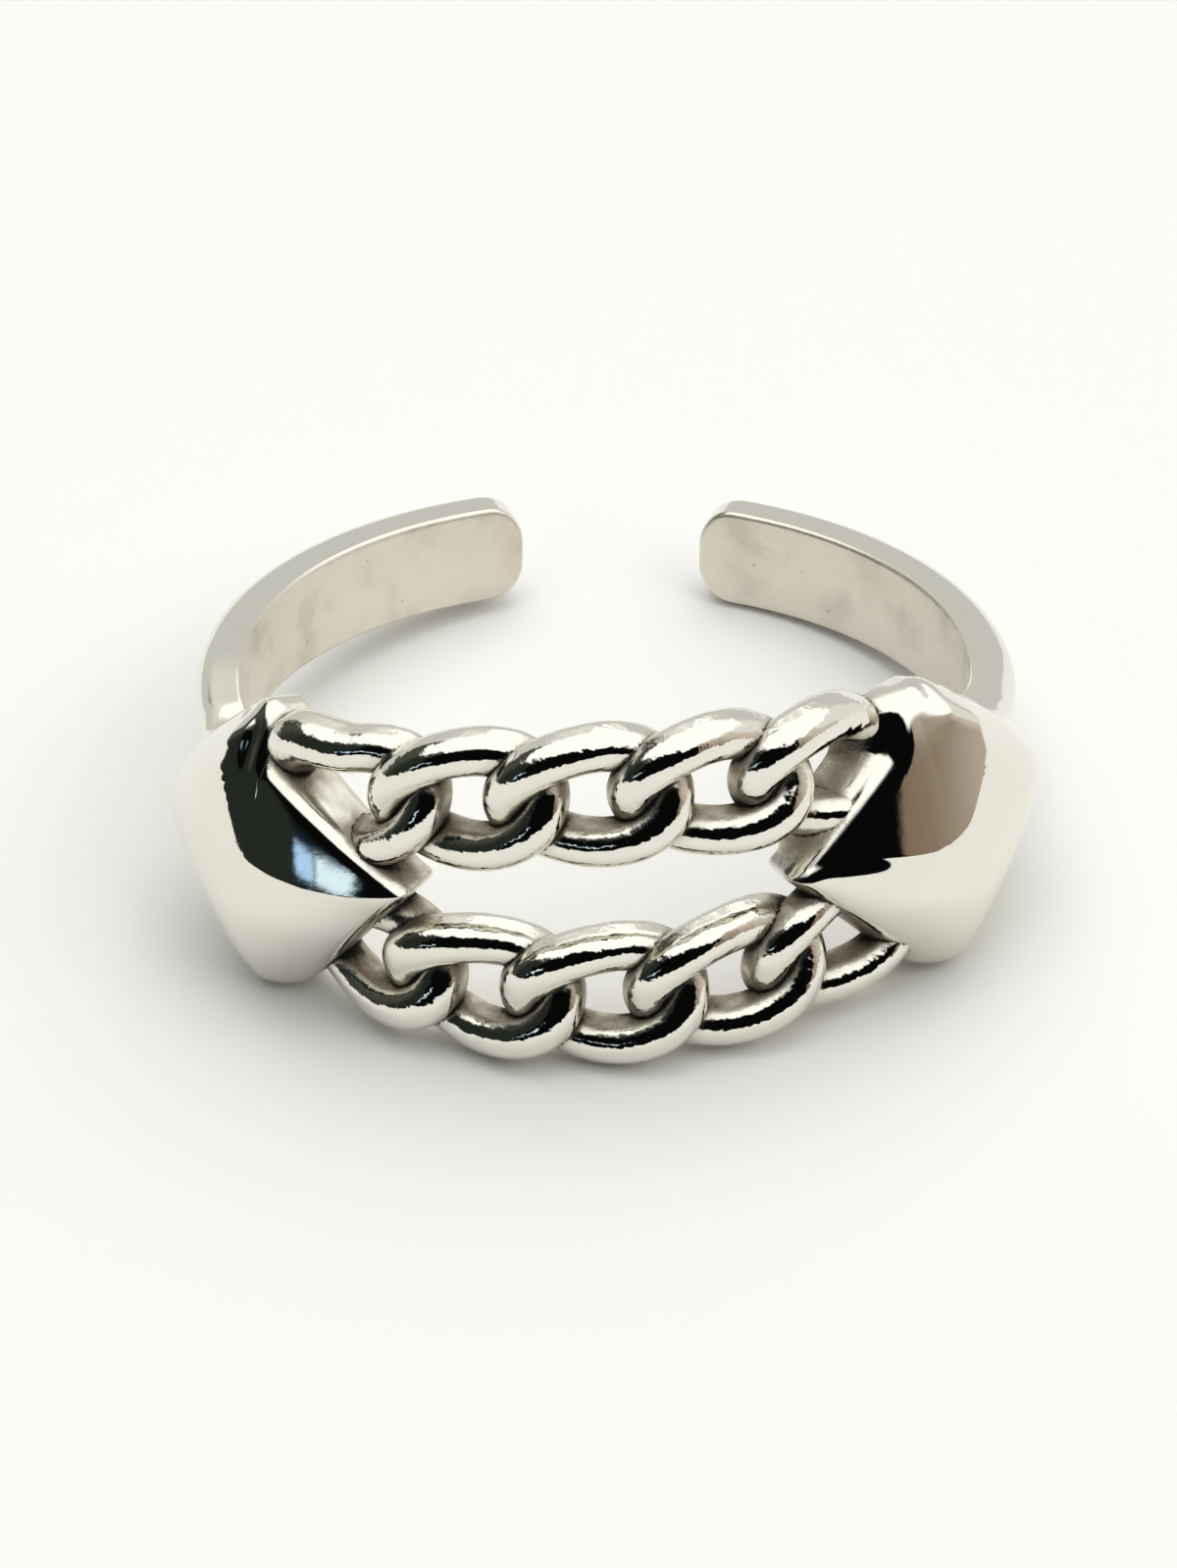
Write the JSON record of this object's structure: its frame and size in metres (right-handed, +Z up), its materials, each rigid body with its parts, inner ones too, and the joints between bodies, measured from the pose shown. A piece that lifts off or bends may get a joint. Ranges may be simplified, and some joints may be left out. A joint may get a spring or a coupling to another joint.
{
  "type": "chain link ring",
  "caption": "Open ring cast in one piece: side-by-side rows of curb chain links between swept pyramid studs, on a plain band with rounded free ends.",
  "frame": {"origin": "middle of the bounding box's base, on the surface the ring rests on", "axes": "+Z up from the surface, the chain towards -Y, the gap between the arms towards +Y, +X to the right for someone who faces the chain"},
  "size_m": [0.021, 0.0203, 0.0088],
  "materials": {
    "silver": "polished outside, softly worn satin on the inner faces"
  },
  "bodies": {
    "root": {"ring": "silver"}
  },
  "joints": []
}
